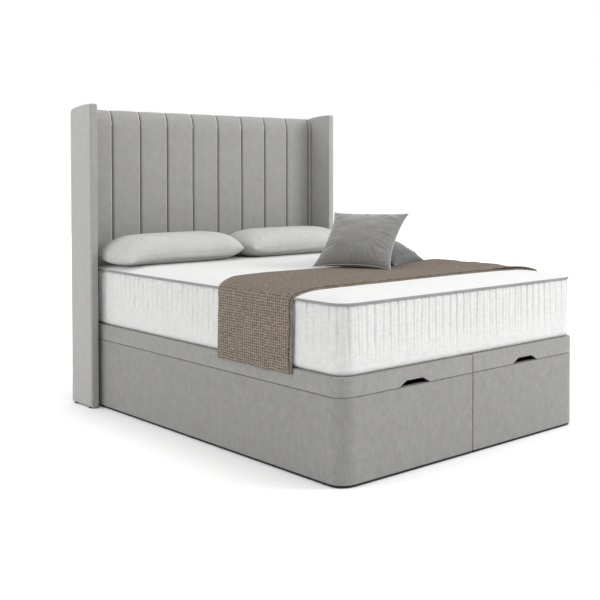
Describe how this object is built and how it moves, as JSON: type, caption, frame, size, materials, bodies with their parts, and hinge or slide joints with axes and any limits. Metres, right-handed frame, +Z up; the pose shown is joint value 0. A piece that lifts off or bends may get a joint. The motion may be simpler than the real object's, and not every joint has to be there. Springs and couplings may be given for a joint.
{
  "type": "ottoman storage divan bed",
  "caption": "Upholstered storage bed whose lids and mattress lift at the foot end, with a winged channelled headboard, pillows, cushions and a throw.",
  "frame": {"origin": "on the floor, under the middle of the whole bed with its headboard", "axes": "+Z up; +Y runs from the foot end to the headboard; +X is to the right of someone who stands at the foot end and faces the headboard"},
  "size_m": [1.621, 2.078, 1.553],
  "materials": {
    "upholstery": "soft velvet weave",
    "dust_cloth": "thin black non-woven cloth",
    "timber": "planed, unfinished",
    "board": "pressed board, unfinished",
    "black_plastic": "matte",
    "black_steel": "satin black coating",
    "strut_rod": "polished",
    "zinc_steel": "zinc plated",
    "mattress_fabric": "knitted cover with a ribbed border",
    "pillow_fabric": "smooth cotton",
    "throw_knit": "coarse open knit",
    "cushion_fabric": "soft velvet weave"
  },
  "bodies": {
    "base": {"foot_panel_left": "board", "head_panel_left": "board", "side_panel_left": "board", "centre_panel_left": "board", "storage_floor_left": "board", "base_cover_left": "upholstery", "wing_board_left": "board", "wing_cover_left": "upholstery", "foot_panel_right": "board", "head_panel_right": "board", "side_panel_right": "board", "centre_panel_right": "board", "storage_floor_right": "board", "base_cover_right": "upholstery", "wing_board_right": "board", "wing_cover_right": "upholstery", "channel_pad_1": "upholstery", "channel_pad_2": "upholstery", "channel_pad_3": "upholstery", "channel_pad_4": "upholstery", "channel_pad_5": "upholstery", "channel_pad_6": "upholstery", "channel_pad_7": "upholstery", "channel_pad_8": "upholstery", "channel_pad_9": "upholstery", "edge_pads": "upholstery", "headboard_face_board": "board", "headboard_lower_pad": "upholstery", "headboard_frame": "timber", "headboard_back_cover": "dust_cloth", "headboard_bolts": "zinc_steel", "wing_screws": "zinc_steel", "floor_glides": "black_plastic", "linking_plates": "zinc_steel", "hinge_plates": "black_steel", "plate_screws": "zinc_steel"},
    "lid_left": {"lid_frame_left": "timber", "lid_board_left": "board", "lid_cover_left": "upholstery", "hand_hold_liner_left": "black_plastic", "lid_brackets_left": "black_steel", "mattress": "mattress_fabric", "throw": "throw_knit", "pillow_left": "pillow_fabric", "pillow_right": "pillow_fabric", "scatter_cushion_front": "cushion_fabric", "scatter_cushion_rear": "cushion_fabric"},
    "rear_arms_left": {"rear_arms_left": "black_steel"},
    "front_arms_left": {"front_arms_left": "black_steel"},
    "strut_cylinders_left": {"strut_cylinders_left": "black_steel"},
    "strut_rods_left": {"strut_rods_left": "strut_rod"},
    "lid_right": {"lid_frame_right": "timber", "lid_board_right": "board", "lid_cover_right": "upholstery", "hand_hold_liner_right": "black_plastic", "lid_brackets_right": "black_steel"},
    "rear_arms_right": {"rear_arms_right": "black_steel"},
    "front_arms_right": {"front_arms_right": "black_steel"},
    "strut_cylinders_right": {"strut_cylinders_right": "black_steel"},
    "strut_rods_right": {"strut_rods_right": "strut_rod"}
  },
  "joints": [
    {"name": "lid_left_lift", "type": "hinge", "parent": "rear_arms_left", "child": "lid_left", "pos_m": [0, 0.821, 0.394], "axis": [-1, 0, 0], "range_deg": [0, 67.3]},
    {"name": "rear_arms_left_swing", "type": "hinge", "parent": "base", "child": "rear_arms_left", "pos_m": [0, 0.498, 0.134], "axis": [1, 0, 0], "range_deg": [0, 35.5]},
    {"name": "front_arms_left_swing", "type": "hinge", "parent": "base", "child": "front_arms_left", "pos_m": [0, 0.16, 0.06], "axis": [1, 0, 0], "range_deg": [0, 28.1]},
    {"name": "strut_cylinders_left_tilt", "type": "hinge", "parent": "base", "child": "strut_cylinders_left", "pos_m": [0, 0.78261, 0.0527], "axis": [1, 0, 0], "range_deg": [0, 17.8]},
    {"name": "strut_rods_left_tilt", "type": "hinge", "parent": "rear_arms_left", "child": "strut_rods_left", "pos_m": [0, 0.72858, 0.3196], "axis": [-1, 0, 0], "range_deg": [0, 17.8]},
    {"name": "lid_right_lift", "type": "hinge", "parent": "rear_arms_right", "child": "lid_right", "pos_m": [0, 0.821, 0.394], "axis": [-1, 0, 0], "range_deg": [0, 67.4]},
    {"name": "rear_arms_right_swing", "type": "hinge", "parent": "base", "child": "rear_arms_right", "pos_m": [0, 0.498, 0.134], "axis": [1, 0, 0], "range_deg": [0, 35.5]},
    {"name": "front_arms_right_swing", "type": "hinge", "parent": "base", "child": "front_arms_right", "pos_m": [0, 0.16, 0.06], "axis": [1, 0, 0], "range_deg": [0, 28.1]},
    {"name": "strut_cylinders_right_tilt", "type": "hinge", "parent": "base", "child": "strut_cylinders_right", "pos_m": [0, 0.78261, 0.0527], "axis": [1, 0, 0], "range_deg": [0, 17.8]},
    {"name": "strut_rods_right_tilt", "type": "hinge", "parent": "rear_arms_right", "child": "strut_rods_right", "pos_m": [0, 0.72858, 0.3196], "axis": [-1, 0, 0], "range_deg": [0, 17.8]}
  ],
  "couplings": [
    {"joint": "rear_arms_left_swing", "follows": "lid_left_lift", "ratio": 0.5255},
    {"joint": "front_arms_left_swing", "follows": "lid_left_lift", "ratio": 0.416},
    {"joint": "strut_cylinders_left_tilt", "follows": "lid_left_lift", "ratio": 0.26275},
    {"joint": "strut_rods_left_tilt", "follows": "lid_left_lift", "ratio": 0.26275},
    {"joint": "rear_arms_right_swing", "follows": "lid_left_lift", "ratio": 0.5255},
    {"joint": "front_arms_right_swing", "follows": "lid_left_lift", "ratio": 0.416},
    {"joint": "strut_cylinders_right_tilt", "follows": "lid_left_lift", "ratio": 0.26275},
    {"joint": "strut_rods_right_tilt", "follows": "lid_left_lift", "ratio": 0.26275},
    {"joint": "lid_right_lift", "follows": "lid_left_lift", "ratio": 1}
  ]
}
